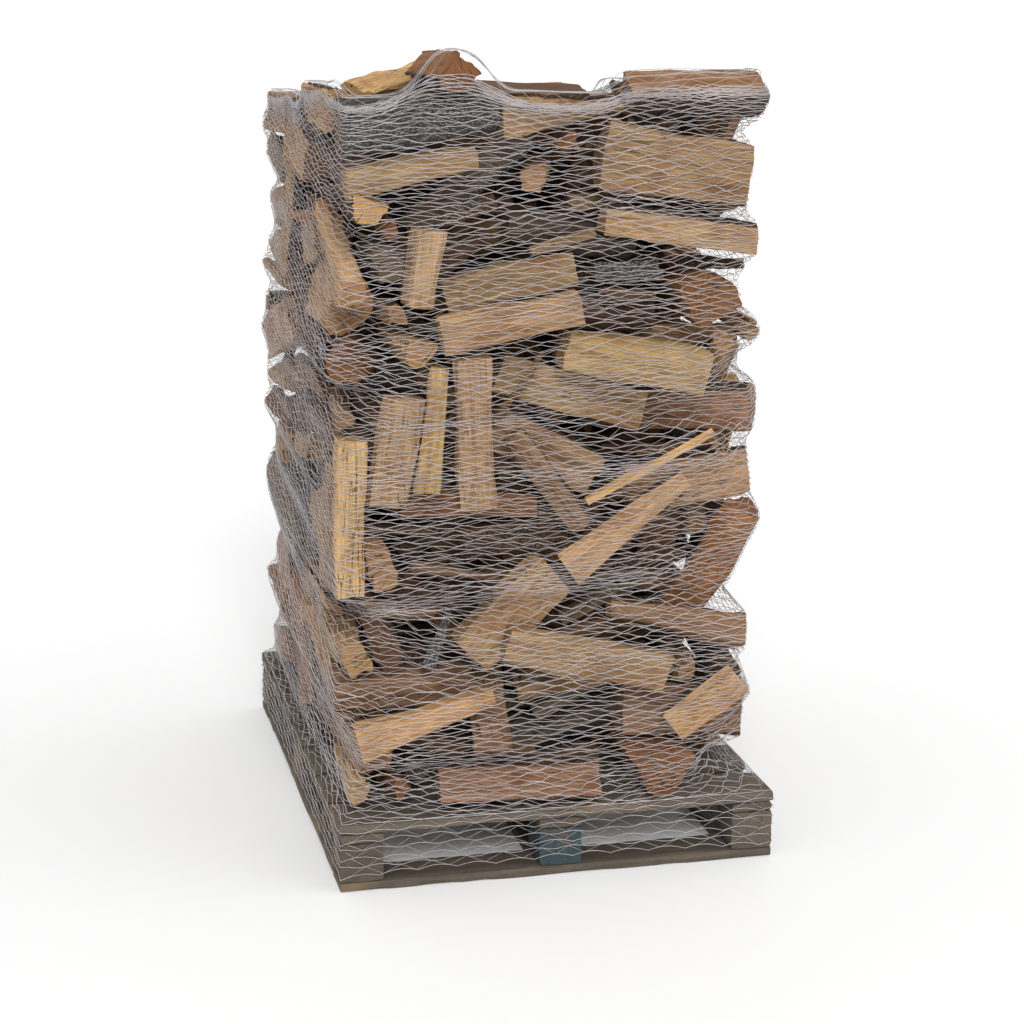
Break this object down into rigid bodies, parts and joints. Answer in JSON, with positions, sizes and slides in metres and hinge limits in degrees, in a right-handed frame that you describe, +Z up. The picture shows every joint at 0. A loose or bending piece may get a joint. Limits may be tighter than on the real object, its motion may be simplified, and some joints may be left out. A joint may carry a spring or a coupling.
{
  "type": "net-wrapped pallet of split firewood",
  "caption": "Split firewood logs piled on a wooden block pallet and held by an elastic net wound round the load, with fork entries on all four sides.",
  "frame": {"origin": "on the ground, under the middle of the pallet", "axes": "+Z up; the pallet's short front side faces -Y and its long sides run along Y"},
  "size_m": [1.016, 1.212, 1.826],
  "materials": {
    "split_wood": "rough",
    "pallet_wood": "rough",
    "painted_wood": "matte",
    "net": "satin"
  },
  "bodies": {
    "root": {"base_board_front": "pallet_wood", "base_board_back": "pallet_wood", "base_board_left": "pallet_wood", "base_board_middle": "pallet_wood", "base_board_right": "pallet_wood", "block_front_left": "pallet_wood", "block_front_middle": "painted_wood", "block_front_right": "pallet_wood", "block_centre_left": "pallet_wood", "block_centre_middle": "pallet_wood", "block_centre_right": "pallet_wood", "block_back_left": "pallet_wood", "block_back_middle": "pallet_wood", "block_back_right": "pallet_wood", "stringer_board_left": "pallet_wood", "stringer_board_middle": "pallet_wood", "stringer_board_right": "pallet_wood", "deck_board_1": "pallet_wood", "deck_board_2": "pallet_wood", "deck_board_3": "pallet_wood", "deck_board_4": "pallet_wood", "deck_board_5": "pallet_wood", "deck_board_6": "pallet_wood", "deck_board_7": "pallet_wood", "log_top_right": "split_wood", "log_top_middle": "split_wood", "log_peak_end": "split_wood", "log_grey_bark": "split_wood", "log_below_grey": "split_wood", "log_broad_split": "split_wood", "log_long_right": "split_wood", "log_right_end": "split_wood", "log_crossbar_tan": "split_wood", "log_sloping_yellow": "split_wood", "log_behind_upper": "split_wood", "log_upright_cracked": "split_wood", "log_upright_narrow": "split_wood", "log_upright_tall": "split_wood", "log_leaning_thin": "split_wood", "log_rising_right": "split_wood", "log_right_round": "split_wood", "log_red_bark": "split_wood", "log_corner_tall": "split_wood", "log_falling_right": "split_wood", "log_wedge_right": "split_wood", "log_yellow_right": "split_wood", "log_triangle_end": "split_wood", "log_corner_low": "split_wood", "log_pale_left": "split_wood", "log_red_low": "split_wood", "log_left_upright": "split_wood", "log_left_top": "split_wood", "log_right_low": "split_wood", "log_right_high": "split_wood", "log_back_low": "split_wood", "log_back_middle": "split_wood", "log_back_high": "split_wood", "log_top_crosswise": "split_wood", "log_top_lengthwise": "split_wood", "pallet_net": "net"}
  },
  "joints": []
}
